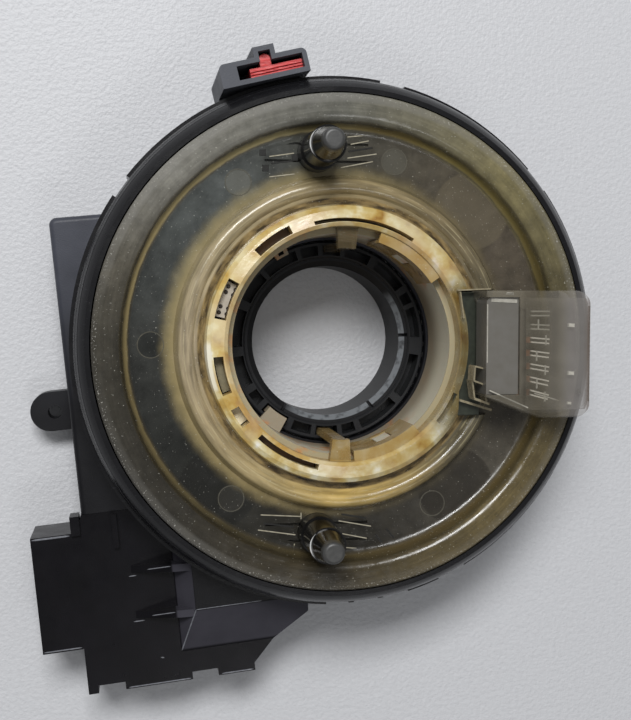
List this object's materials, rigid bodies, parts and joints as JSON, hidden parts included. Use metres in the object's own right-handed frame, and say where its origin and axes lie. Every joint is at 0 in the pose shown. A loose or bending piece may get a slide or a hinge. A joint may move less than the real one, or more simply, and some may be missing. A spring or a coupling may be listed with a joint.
{
  "type": "steering clock spring",
  "caption": "Steering clock spring: a clear rotor with drive pegs and a plug turns in a black ring housing over a coiled ribbon cable, with angle sensor gears below.",
  "frame": {"origin": "centre of the column bore at the rest plane, where the bore starts", "axes": "+Z along the bore axis towards the steering wheel, -X towards the wing of the housing"},
  "size_m": [0.1263, 0.1349, 0.0532],
  "materials": {
    "black_housing": "moulded, fine satin grain",
    "black_ring": "moulded, semi-gloss shoulder",
    "black_block": "moulded, satin",
    "black_socket": "moulded, dusty",
    "red_plastic": "moulded",
    "steel": "zinc plated",
    "board_green": "solder mask",
    "chip_black": "moulded epoxy",
    "tinned_pin": "tinned",
    "clear_plastic": "clear, aged and greasy",
    "dark_peg": "smooth",
    "frosted_clear": "clear, lightly frosted",
    "frosted_carrier": "frosted",
    "copper_contact": "bright",
    "white_plastic": "moulded",
    "black_ring_inner": "moulded, satin",
    "grey_hub": "moulded",
    "gear_white": "moulded",
    "magnet": "sintered",
    "ribbon_film": "laminated film",
    "terminal_grey": "plated"
  },
  "bodies": {
    "stator": {"housing": "black_housing", "cover_ring": "black_ring", "back_cover": "black_housing", "connector_block": "black_block", "lock_socket": "black_socket", "red_insert": "red_plastic", "cover_screws": "steel", "circuit_board": "board_green", "angle_sensors": "chip_black", "controller_chip": "chip_black", "plug_pins_a": "tinned_pin", "plug_pins_b": "tinned_pin", "ribbon_cable": "ribbon_film", "outer_terminal": "terminal_grey"},
    "rotor": {"rotor_disc": "clear_plastic", "drive_peg_upper": "dark_peg", "drive_peg_lower": "dark_peg", "connector_shroud": "frosted_clear", "contact_carrier": "frosted_carrier", "contact_pins": "copper_contact", "reel": "white_plastic", "index_ring": "black_ring_inner", "encoder_hub": "grey_hub", "hub_gear": "gear_white", "inner_terminal": "terminal_grey"},
    "gear_a": {"measuring_gear_a": "gear_white", "magnet_a": "magnet"},
    "gear_b": {"measuring_gear_b": "gear_white", "magnet_b": "magnet"}
  },
  "joints": [
    {"name": "rotor_turn", "type": "hinge", "parent": "stator", "child": "rotor", "pos_m": [0, 0, 0.02], "axis": [0, 0, 1], "range_deg": [-900, 900], "deforming": ["ribbon_cable"]},
    {"name": "gear_a_turn", "type": "hinge", "parent": "stator", "child": "gear_a", "pos_m": [-0.03018, 0.01099, 0.0075], "axis": [0, 0, 1], "range_deg": [-2700, 2700]},
    {"name": "gear_b_turn", "type": "hinge", "parent": "stator", "child": "gear_b", "pos_m": [-0.02943, -0.01071, 0.0075], "axis": [0, 0, 1], "range_deg": [-3000, 3000]}
  ],
  "couplings": [
    {"joint": "gear_a_turn", "follows": "rotor_turn", "ratio": -3},
    {"joint": "gear_b_turn", "follows": "rotor_turn", "ratio": -3.3333}
  ]
}
